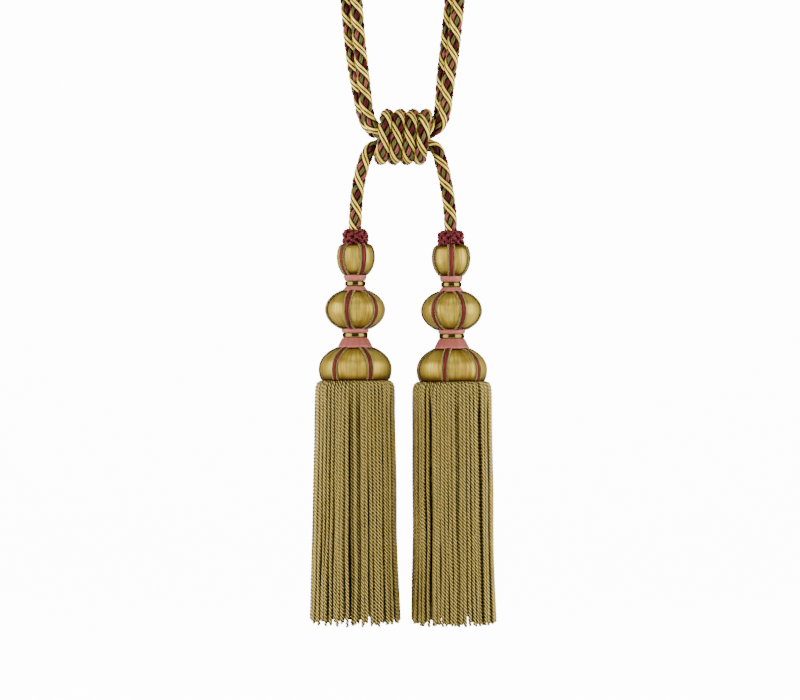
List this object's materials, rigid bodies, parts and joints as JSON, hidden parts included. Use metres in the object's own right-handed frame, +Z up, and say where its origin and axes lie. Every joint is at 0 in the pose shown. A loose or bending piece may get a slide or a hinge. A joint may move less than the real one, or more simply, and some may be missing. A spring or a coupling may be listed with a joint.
{
  "type": "curtain tieback",
  "caption": "Curtain tieback of twisted cord, doubled into a hanging loop and bound at a knot, with a beaded tassel and bullion fringe skirt on each end.",
  "frame": {"origin": "inside top of the cord loop, where it rests on a hook, in the middle between the two cords", "axes": "+Z up along the hanging tassels, -Y towards the viewer, +X to the viewer's right"},
  "size_m": [0.141, 0.0691, 0.5957],
  "materials": {
    "laid_cord": "satin",
    "ruff": "satin",
    "satin": "satin",
    "spool": "satin",
    "band": "satin",
    "gimp": "satin",
    "fringe": "satin"
  },
  "bodies": {
    "root": {"cord_loop": "laid_cord", "cord_binding": "laid_cord", "ruff_left": "ruff", "bead_small_left": "satin", "spool_upper_left": "spool", "band_upper_left": "band", "bead_medium_left": "satin", "spool_lower_left": "spool", "band_lower_left": "band", "bead_large_left": "satin", "skirt_left": "fringe", "rib_small_left_1": "gimp", "rib_small_left_2": "gimp", "rib_small_left_3": "gimp", "rib_small_left_4": "gimp", "rib_small_left_5": "gimp", "rib_medium_left_1": "gimp", "rib_medium_left_2": "gimp", "rib_medium_left_3": "gimp", "rib_medium_left_4": "gimp", "rib_medium_left_5": "gimp", "rib_medium_left_6": "gimp", "rib_large_left_1": "gimp", "rib_large_left_2": "gimp", "rib_large_left_3": "gimp", "rib_large_left_4": "gimp", "rib_large_left_5": "gimp", "rib_large_left_6": "gimp", "ruff_right": "ruff", "bead_small_right": "satin", "spool_upper_right": "spool", "band_upper_right": "band", "bead_medium_right": "satin", "spool_lower_right": "spool", "band_lower_right": "band", "bead_large_right": "satin", "skirt_right": "fringe", "rib_small_right_1": "gimp", "rib_small_right_2": "gimp", "rib_small_right_3": "gimp", "rib_small_right_4": "gimp", "rib_small_right_5": "gimp", "rib_medium_right_1": "gimp", "rib_medium_right_2": "gimp", "rib_medium_right_3": "gimp", "rib_medium_right_4": "gimp", "rib_medium_right_5": "gimp", "rib_medium_right_6": "gimp", "rib_large_right_1": "gimp", "rib_large_right_2": "gimp", "rib_large_right_3": "gimp", "rib_large_right_4": "gimp", "rib_large_right_5": "gimp", "rib_large_right_6": "gimp"}
  },
  "joints": []
}
